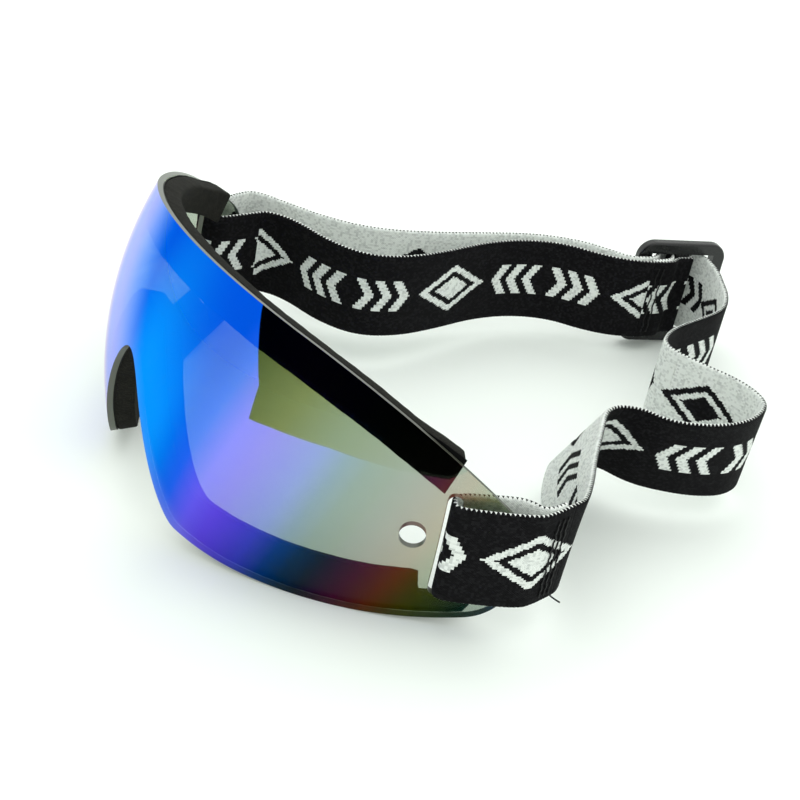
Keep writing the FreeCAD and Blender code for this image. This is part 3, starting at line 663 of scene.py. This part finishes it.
def strap_piece(name, points, black_side, start=0.0, step=0.45):
    """A ribbon on edge along a plan route. Points may add a third and fourth number:
    how far the upper edge leans from the lower one there, along X and Y."""
    route = [tuple(p) + (0.0,) * (4 - len(p)) for p in map(tuple, points)]
    run, line = strap_route(route, step)
    middle = np.column_stack([line[:, :2], np.full(len(line), STRAP_MIDDLE)])
    lean = line[:, 2:4]
    rise = np.sqrt(STRAP_WIDTH**2 - (lean**2).sum(1))
    up = np.column_stack([lean, rise]) / STRAP_WIDTH
    heading = np.gradient(middle, run, axis=0)
    out = np.cross(heading, up) * black_side * -1.0
    out /= np.linalg.norm(out, axis=1)[:, None]
    edge = STRAP_THICKNESS / 2.0
    flat = np.linspace(edge - STRAP_WIDTH / 2.0, STRAP_WIDTH / 2.0 - edge, ACROSS_POINTS)
    bend = np.radians(np.array([60.0, 30.0, 0.0, -30.0, -60.0]))
    tip, face = edge * np.cos(bend), np.full(ACROSS_POINTS, edge)
    across = np.concatenate([flat, flat[-1] + tip, flat[::-1], flat[0] - tip])
    through = np.concatenate([face, edge * np.sin(bend), -face, edge * np.sin(bend[::-1])])
    # The rounded selvedge swells into a bead at each wrap of the edge yarn
    beads = BEAD_RISE * np.abs(np.sin(math.pi * (run + start) / SELVEDGE_PITCH))
    reach = np.sign(across) * (np.abs(across) > flat[-1] + 0.1)
    width = across[None, :] + beads[:, None] * reach[None, :]
    points = middle[:, None] + up[:, None] * width[..., None]
    points = points + out[:, None] * through[None, :, None]
    points = turned(points.reshape(-1, 3), -REST_LEAN) + LENS_ZERO
    faces = ring_faces(len(run), len(across))
    if black_side == BLACK_RIGHT:
        faces = [face[::-1] for face in faces]
    piece = make_piece(name, points, faces, [yarn])
    rows = np.broadcast_to((run + start)[:, None], width.shape)
    woven = np.stack([rows, width, np.broadcast_to(through, width.shape)], axis=-1)
    point_attribute(piece, "woven", woven)
    return piece


# Near loop: the strap's end goes out through the slot, round the lens's end and back,
# where three rows of black lockstitch hold the plies together.
FOLD_RUN = 0.3
STRAP_OUT = -(OUTER_PLY_CLEARANCE + STRAP_THICKNESS / 2.0)
STRAP_IN = LENS_THICKNESS + INNER_PLY_CLEARANCE + STRAP_THICKNESS / 2.0
PLY_TURN = (SLOT_STATION + LENS_HALF_LENGTH) / 2.0
seam_start = near_end + (2.2, 3.1)
seam_end = near_end + (0.3, 10.1)
seam_along = (seam_end - seam_start) / np.linalg.norm(seam_end - seam_start)
seam_in = np.array([-seam_along[1], seam_along[0]])
# Where the pattern's repeat stands at the seam, so that a diamond shows on the loop
SEAM_PHASE = 9.0
near_points = [
    seam_start + seam_along * 6.4 + seam_in * PLY_STEP,
    seam_start + seam_along * 0.4 + seam_in * PLY_STEP,
    at_lens(LENS_HALF_LENGTH - 0.5, STRAP_IN + 0.5),
    at_lens(PLY_TURN, STRAP_IN + 0.4),
    at_lens(SLOT_STATION + FOLD_RUN, STRAP_IN - 0.6),
    at_lens(SLOT_STATION - FOLD_RUN, LENS_THICKNESS / 2.0),
    at_lens(SLOT_STATION + FOLD_RUN, STRAP_OUT),
    at_lens(PLY_TURN, STRAP_OUT),
    at_lens(LENS_HALF_LENGTH, STRAP_OUT),
    seam_start,
    seam_end,
]
near_length = strap_route(near_points, 1.0)[0][-1]
near_loop = strap_piece("near_loop_band", near_points, BLACK_RIGHT, SEAM_PHASE - near_length)
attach(near_loop, "near_loop")
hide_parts("near_strap_loop")

# Folded run: slack strap that stands on edge in three waves between the loop and the
# slider. It is one band, cut here into three lengths. The folds give the plan from the
# lens's end, then how far the upper edge leans.
NEAR_FOLDS = (
    (-2.1, 14.7, 2.5, -0.5),
    (-10.7, 20.7, 7.0, 0.0),
    (-20.1, 25.9, 11.5, 1.5),
    (-30.1, 34.1, 11.0, 4.0),
    (-39.1, 42.7, 11.0, 3.0),
    (-35.1, 51.3, 9.5, 1.0),
    (-27.1, 54.9, 8.0, 0.0),
    (-22.1, 62.3, 6.5, 0.0),
    (-19.1, 70.1, 4.5, 0.0),
    (-18.7, 78.5, 2.0, 0.0),
    (-23.1, 86.7, 0.5, 0.0),
)
BACK_FOLDS = (
    (64.2, -30.1),
    (53.8, -36.1),
    (43.6, -40.3),
    (37.2, -32.5),
    (34.4, -20.5),
    (31.8, -9.9),
    (25.2, -2.5),
    (15.8, 2.7),
)
slider_along = np.array([math.cos(SLIDER_HEADING), math.sin(SLIDER_HEADING)])
slider_out = np.array([math.sin(SLIDER_HEADING), -math.cos(SLIDER_HEADING)])
SLIDER_THICKNESS = 3.0
SLIDER_END = 14.0
END_EDGE = 10.0
BAR_EDGE = 2.0
WINDOW_INSET = 2.2


def at_slider(along, out):
    """A place beside the slider: along it, and out from its middle towards +X."""
    return slider_middle + slider_along * along + slider_out * out


folded = [seam_end, seam_end + seam_along * 2.0]
folded += [near_end + fold[:2] for fold in NEAR_FOLDS]
folded += [slider_middle + fold for fold in BACK_FOLDS]
folded += [at_slider(END_EDGE - WINDOW_INSET, 9.4), at_slider(END_EDGE - WINDOW_INSET, 6.8)]
leans = np.zeros((len(folded), 2))
leans[2 : 2 + len(NEAR_FOLDS)] = [fold[2:] for fold in NEAR_FOLDS]
folded = list(np.hstack([folded, leans]))
FIRST_CUT, SECOND_CUT = 6, 14
first_middle = (folded[FIRST_CUT] + folded[FIRST_CUT + 1]) / 2.0
second_middle = (folded[SECOND_CUT] + folded[SECOND_CUT + 1]) / 2.0
first_points = folded[: FIRST_CUT + 1] + [first_middle]
second_points = [first_middle] + folded[FIRST_CUT + 1 : SECOND_CUT + 1] + [second_middle]
third_points = [second_middle] + folded[SECOND_CUT + 1 :]


travel = SEAM_PHASE
for name, points, bodies in (
    ("folded_strap_first", first_points, ("near_loop", "goggles")),
    ("folded_strap_second", second_points, ("goggles", "far_strap")),
    ("folded_strap_third", third_points, ("far_strap", "slider")),
):
    length = strap_route(points, 1.0)[0][-1]
    piece = strap_piece(name, points, BLACK_RIGHT, travel)
    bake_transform(piece)
    if name == "folded_strap_first":
        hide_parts("folded_strap")
    travel += length

# Slider weave: the strap's free end is sewn round the middle bar, and the strap itself
# passes in front of one end bar, behind the wrapped bar and out through the window.
BAR_CLEARANCE, WRAP_CLEARANCE = 0.6, 0.15
bar_face = SLIDER_THICKNESS / 2.0
ply_half = STRAP_THICKNESS / 2.0
over_bar = bar_face + ply_half + BAR_CLEARANCE
wrap_out = bar_face + ply_half + WRAP_CLEARANCE
under_wrap = -(wrap_out + PLY_STEP)
seam_out = over_bar + PLY_STEP
main_out = seam_out + PLY_STEP
wrap_side = BAR_EDGE + ply_half + WRAP_CLEARANCE
wrap = strap_piece(
    "slider_wrap_band",
    [
        at_slider(-END_EDGE - 1.0, main_out),
        at_slider(-wrap_side - 1.7, main_out),
        at_slider(-wrap_side + 0.75, wrap_out),
        at_slider(wrap_side - 0.6, wrap_out),
        at_slider(wrap_side + 0.1, wrap_out),
        at_slider(wrap_side + 0.1, -wrap_out),
        at_slider(wrap_side - 0.6, -wrap_out),
        at_slider(-wrap_side + 0.6, -wrap_out),
        at_slider(-wrap_side, -wrap_out),
        at_slider(-wrap_side, wrap_out - 1.4),
        at_slider(-wrap_side - 2.4, seam_out),
        at_slider(-END_EDGE - 0.6, seam_out),
    ],
    BLACK_RIGHT,
    start=20.0,
    step=0.3,
)
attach(wrap, "slider")
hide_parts("slider_bar_wrap")
threaded = strap_piece(
    "slider_threaded_band",
    [
        at_slider(-SLIDER_END - 1.5, over_bar),
        at_slider(-END_EDGE - 0.3, over_bar),
        at_slider(-END_EDGE + 2.1, 1.0),
        at_slider(-wrap_side - 2.8, under_wrap + 1.1),
        at_slider(-wrap_side + 0.2, under_wrap),
        at_slider(wrap_side - 0.2, under_wrap),
        at_slider(wrap_side + 2.6, under_wrap + 1.2),
        at_slider(END_EDGE - 2.6, 0.8),
        at_slider(END_EDGE - WINDOW_INSET, 4.0),
        at_slider(END_EDGE - WINDOW_INSET, 6.8),
    ],
    BLACK_LEFT,
    start=10.0,
)
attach(threaded, "slider")
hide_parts("slider_threaded_strap")

# Far loop: the same band drawn through the far slot, one ply inside the lens's end
# and one outside it. Nothing is sewn here, so it slides freely when adjusted.
far_inner_start = far_end + (10.7, 0.7)
far_inner_bend = far_end + (11.3, -4.9)
far_outer_start = far_end + (-1.9, 2.7)
far_outer_bend = at_lens(-LENS_HALF_LENGTH, STRAP_OUT)
far_inner_along = far_inner_start - far_inner_bend
far_inner_along = far_inner_along / np.linalg.norm(far_inner_along)
far_outer_along = far_outer_start - far_outer_bend
far_outer_along = far_outer_along / np.linalg.norm(far_outer_along)
far_loop = strap_piece(
    "far_loop_band",
    [
        far_inner_start,
        far_inner_bend,
        at_lens(-SLOT_STATION - FOLD_RUN, STRAP_IN + 1.0),
        at_lens(-SLOT_STATION + FOLD_RUN, LENS_THICKNESS / 2.0),
        at_lens(-SLOT_STATION - FOLD_RUN, STRAP_OUT),
        at_lens(-PLY_TURN, STRAP_OUT),
        far_outer_bend,
        far_outer_start,
    ],
    BLACK_LEFT,
    start=30.0,
)
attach(far_loop, "far_strap")
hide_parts("far_strap_loop")

# Inner and outer runs: the two lengths of the band side by side along the far side of
# the head, from the far loop to the slider. Both are loose.
inner_points = [
    far_inner_start,
    far_inner_start + far_inner_along * 2.6,
    far_end + (17.1, 8.9),
    far_end + (30.3, 12.7),
    far_end + (40.1, 19.9),
    far_end + (42.9, 31.7),
    far_end + (41.5, 45.1),
    far_end + (38.9, 58.7),
    slider_middle + (-16.8, -44.9),
    slider_middle + (-12.4, -33.5),
    slider_middle + (-4.2, -26.1),
    at_slider(-END_EDGE - 7.0, main_out),
    at_slider(-END_EDGE - 1.0, main_out),
]
outer_points = [
    far_outer_start,
    far_outer_start + far_outer_along * 2.4,
    far_end + (7.7, 11.9),
    far_end + (18.3, 19.9),
    far_end + (26.1, 30.7),
    far_end + (30.5, 45.3),
    far_end + (33.3, 61.1),
    slider_middle + (-19.6, -39.1),
    slider_middle + (-12.8, -26.7),
    slider_middle + (-6.2, -21.3),
    at_slider(-SLIDER_END - 3.6, over_bar),
    at_slider(-SLIDER_END - 1.5, over_bar),
]
for name, node, points, side, start in (
    ("inner_run_band", "inner_strap_run", inner_points, BLACK_RIGHT, 0.0),
    ("outer_run_band", "outer_strap_run", outer_points, BLACK_LEFT, 12.0),
):
    piece = strap_piece(name, points, side, start)
    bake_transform(piece)
    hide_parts(node)

# Stitching: black polyester lockstitch. Each stitch rises from the strap and dips back
# into it, and the last row of the near loop ends in a loose tail.
STITCH, THREAD_RADIUS, SEAM_MARGIN, SEAM_SPACING = 2.3, 0.2, 2.0, 1.6
THREAD_STEP, THREAD_SIDES = 0.12, 8
STITCH_RISE, STITCH_SINK, STITCH_WANDER = 0.3, 0.12, 0.16
NEAR_ROWS, NEAR_ROW_START = 3, 2.2
SLIDER_ROWS, SLIDER_ROW_START = 2, 0.6
TWIST_MM = 0.9

# Bonded polyester thread: its wax gives a faint shine along the twist
thread_black, tree, output = new_material("black_polyester_thread")
where = add(tree, "TexCoord").outputs["Object"]
twist_inputs = {"Vector": where, "Scale": 1.0 / (TWIST_MM * MM)}
twist = add(tree, "TexWave", twist_inputs, bands_direction="Z")
relief = add(tree, "Bump", {"Height": twist.outputs["Fac"], "Strength": 0.4, "Distance": 0.05 * MM})
thread_shader = add(
    tree,
    "BsdfPrincipled",
    {
        "Base Color": linear("0c0c0e"),
        "Roughness": 0.5,
        "Normal": relief.outputs[0],
        "Specular IOR Level": 0.3,
    },
)
tree.links.new(thread_shader.outputs[0], output.inputs["Surface"])


def thread_tube(centre, radius):
    """A tube round a line of points: a circle square to the line at each of them."""
    heading = np.gradient(centre, axis=0)
    heading /= np.linalg.norm(heading, axis=1)[:, None]
    # No stitch runs along this slanting line, so the cross product never vanishes
    side = np.cross(heading, [0.31, 0.52, 0.79])
    side /= np.linalg.norm(side, axis=1)[:, None]
    other = np.cross(heading, side)
    angle = np.linspace(0.0, 2 * math.pi, THREAD_SIDES, endpoint=False)[None, :, None]
    circle = np.cos(angle) * side[:, None] + np.sin(angle) * other[:, None]
    points = (centre[:, None] + radius * circle).reshape(-1, 3)
    return points, ring_faces(len(centre), THREAD_SIDES)


def stitch_row(name, node, face, along, out, body, tail=()):
    """A row of stitches up the strap: a line that rises from the face in a half wave
    for each stitch, and wanders a little along the strap."""
    height = np.arange(SEAM_MARGIN, STRAP_WIDTH - SEAM_MARGIN, THREAD_STEP)
    height = height - STRAP_WIDTH / 2.0
    wave = np.abs(np.sin(math.pi * height / STITCH))
    lift = STITCH_RISE * np.sqrt(wave) - STITCH_SINK
    wander = STITCH_WANDER * np.sin(math.pi * height / STITCH + 0.6)
    plan = face + out * lift[:, None] + along * wander[:, None]
    line = np.column_stack([plan, height + STRAP_MIDDLE])
    if len(tail):
        line = np.vstack([tail[::-1], line])
    points, faces = thread_tube(line, THREAD_RADIUS)
    points = turned(points, -REST_LEAN) + LENS_ZERO
    piece = make_piece(name, points, faces, [thread_black])
    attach(piece, body)
    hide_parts(node)


seam_face = seam_start - seam_in * ply_half
row_faces = [
    seam_face + seam_along * (NEAR_ROW_START + number * SEAM_SPACING) for number in range(NEAR_ROWS)
]
# The loose tail leaves the foot of the last row and curls away from the strap
t = np.linspace(0.12, 1.0, 14)[:, None]
foot_level = STRAP_MIDDLE - STRAP_WIDTH / 2.0 + SEAM_MARGIN
foot = np.append(row_faces[-1] - seam_in * 0.1, foot_level)
tail = foot + np.array([0.4, 0.3, -1.6]) * t + np.array([1.4, 2.4, -0.6]) * t**2
for number, face in enumerate(row_faces, 1):
    stitch_row(
        f"near_stitches_{number}",
        f"near_seam_row_{number}",
        face,
        seam_along,
        -seam_in,
        "near_loop",
        tail if number == NEAR_ROWS else (),
    )
for number in range(SLIDER_ROWS):
    face = at_slider(-END_EDGE + SLIDER_ROW_START + number * SEAM_SPACING, main_out + ply_half)
    stitch_row(
        f"slider_stitches_{number + 1}",
        f"slider_seam_row_{number + 1}",
        face,
        slider_along,
        slider_out,
        "slider",
    )

# Slider: one injection moulding in black acetal, three bars with rounded rims, held by
# the strap alone. The mould was polished, so it shows soft highlights and rub marks.
RUB_MM = 3.0
acetal, tree, output = new_material("black_acetal")
where = add(tree, "TexCoord").outputs["Object"]
rub = add(tree, "TexNoise", {"Vector": where, "Scale": 1.0 / (RUB_MM * MM), "Detail": 5.0})
haze = add(tree, "MapRange", {0: rub.outputs["Fac"], 1: 0.35, 2: 0.75, 3: 0.2, 4: 0.38})
skin = add(tree, "Bump", {"Height": rub.outputs["Fac"], "Strength": 0.1, "Distance": 0.05 * MM})
acetal_shader = add(
    tree,
    "BsdfPrincipled",
    {
        "Base Color": linear("101112"),
        "Roughness": haze.outputs[0],
        "IOR": 1.48,
        "Normal": skin.outputs[0],
    },
)
tree.links.new(acetal_shader.outputs[0], output.inputs["Surface"])
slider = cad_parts["slider_frame"]
slider.data.materials.clear()
slider.data.materials.append(acetal)

# Setting: a pale table in a white light tent, lit from above. The tent is open on one
# side, and the lens reflects that dark opening as one large patch.
# The table's glow is painted light: a faint even emission that lifts the shadows on it
TENT_GLOW, TABLE_PAINTED_GLOW = 1.18, 0.03
world = bpy.data.worlds.new("light_tent")
world.use_nodes = True
bpy.context.scene.world = world
sky = world.node_tree.nodes["Background"]
sky.inputs["Color"].default_value = linear("f7fbf7")
sky.inputs["Strength"].default_value = TENT_GLOW

# Opal acrylic table top: matt, faintly mottled, with a faint painted glow of its own that lifts the
# shadows cast on it
table_white, tree, output = new_material("white_table")
where = add(tree, "TexCoord").outputs["Object"]
mottle = add(tree, "TexNoise", {"Vector": where, "Scale": 3.0, "Detail": 2.0})
table_tones = {0: mottle.outputs["Fac"], 6: linear("eff4f0"), 7: linear("f2f7f3")}
pale = add(tree, "Mix", table_tones, data_type="RGBA")
table_shader = add(
    tree,
    "BsdfPrincipled",
    {
        "Base Color": pale.outputs[2],
        "Roughness": 0.6,
        "Emission Color": linear("f4fbf2"),
        "Emission Strength": TABLE_PAINTED_GLOW,
    },
)
tree.links.new(table_shader.outputs[0], output.inputs["Surface"])
TABLE_HALF = 1500.0
corners = np.array([(-1, -1, 0), (1, -1, 0), (1, 1, 0), (-1, 1, 0)], float) * TABLE_HALF
table = bpy.data.objects.new("table", bpy.data.meshes.new("table"))
table.data.from_pydata((corners * MM).tolist(), [], [(0, 1, 2, 3)])
table.data.materials.append(table_white)
bpy.context.scene.collection.objects.link(table)

# Matt black cloth behind the opening, which sends back almost nothing
opening_dark, tree, output = new_material("dark_opening")
opening_shader = add(tree, "BsdfDiffuse", {"Color": linear("050505")})
tree.links.new(opening_shader.outputs[0], output.inputs["Surface"])
OPENING_NEAR, OPENING_FAR = 180.0, 900.0
LENS_MIDDLE = np.array([20.0, -90.0, 40.0])


def seen_from_lens(azimuth, elevation, distance):
    """A place in metres at a level distance, given the direction to it from the lens."""
    a, e = math.radians(azimuth), math.radians(elevation)
    away = np.array([math.sin(a), -math.cos(a), math.tan(e)])
    return tuple((LENS_MIDDLE + distance * away) * MM)


# The opening's two sides rise from its sill, 1 mm above the table, and a dark floor
# runs from there towards the goggles
SILL_LEVEL = 1.0
table_level = -math.degrees(math.atan2(LENS_MIDDLE[2] - SILL_LEVEL, OPENING_FAR))
sill = [seen_from_lens(angle, table_level, OPENING_FAR) for angle in (16.5, 48.0, 82.0)]
head = [(82.0, 60.0), (40.0, 60.0), (0.0, 60.0), (2.0, 25.0), (7.6, 14.6), (10.9, 8.5)]
wall = sill + [seen_from_lens(*direction, OPENING_FAR) for direction in head]
near_level = -math.degrees(math.atan2(LENS_MIDDLE[2] - SILL_LEVEL, OPENING_NEAR))
lip = [seen_from_lens(angle, near_level, OPENING_NEAR) for angle in (82.0, 48.0, 30.0, 19.8)]
opening = bpy.data.objects.new("tent_opening", bpy.data.meshes.new("tent_opening"))
opening_faces = [tuple(range(len(wall))), (0, 1, 2, *range(len(wall), len(wall) + len(lip)))]
opening.data.from_pydata(wall + lip, [], opening_faces)
opening.data.materials.append(opening_dark)
bpy.context.scene.collection.objects.link(opening)
# Only the lens's reflection shows the opening: it darkens neither the table nor a view
opening.visible_camera = False
opening.visible_diffuse = False
opening.visible_shadow = False

TOP_LIGHT_SIZE, TOP_LIGHT_POWER = 1.6, 4.3
softbox = bpy.data.lights.new("top_light", "AREA")
softbox.shape = "RECTANGLE"
softbox.size, softbox.size_y = TOP_LIGHT_SIZE, TOP_LIGHT_SIZE
softbox.energy = TOP_LIGHT_POWER
top_light = bpy.data.objects.new("top_light", softbox)
top_light.location = (-0.15, 0.15, 1.0)
aim = Vector((0.0, 0.0, 0.0)) - top_light.location
top_light.rotation_euler = aim.to_track_quat("-Z", "Y").to_euler()
bpy.context.scene.collection.objects.link(top_light)

# Camera: its place and turn are those of the photograph, measured against the lens's
# own zero and then laid back with the lens.
CAMERA_AZIMUTH, CAMERA_ELEVATION, CAMERA_ROLL = 52.17, 27.78, 17.14
CAMERA_DISTANCE, CAMERA_RIGHT, CAMERA_UP = 347.84, 61.98, -9.41
FOCAL_SHARE = 1530.06 / 800.0
SENSOR = 36.0
azimuth, elevation, roll = map(math.radians, (CAMERA_AZIMUTH, CAMERA_ELEVATION, CAMERA_ROLL))
back = np.array(
    [
        math.sin(azimuth) * math.cos(elevation),
        -math.cos(azimuth) * math.cos(elevation),
        math.sin(elevation),
    ]
)
level_right = np.array([math.cos(azimuth), math.sin(azimuth), 0.0])
level_up = np.cross(back, level_right)
right = level_right * math.cos(roll) + level_up * math.sin(roll)
up = level_up * math.cos(roll) - level_right * math.sin(roll)
eye = back * CAMERA_DISTANCE + right * CAMERA_RIGHT + up * CAMERA_UP
axes = turned(np.array([right, up, back]), -LENS_LEAN - REST_LEAN)
eye = (turned(eye, -LENS_LEAN - REST_LEAN) + LENS_ZERO) * MM
camera_data = bpy.data.cameras.new("camera")
camera_data.lens = FOCAL_SHARE * SENSOR
camera_data.sensor_width = SENSOR
camera_data.clip_start = 0.01
camera = bpy.data.objects.new("camera", camera_data)
turn = Matrix(axes.T.tolist()).to_4x4()
camera.matrix_world = Matrix.Translation(Vector(eye)) @ turn
bpy.context.scene.collection.objects.link(camera)
bpy.context.scene.camera = camera
bpy.context.scene.view_settings.view_transform = "Standard"
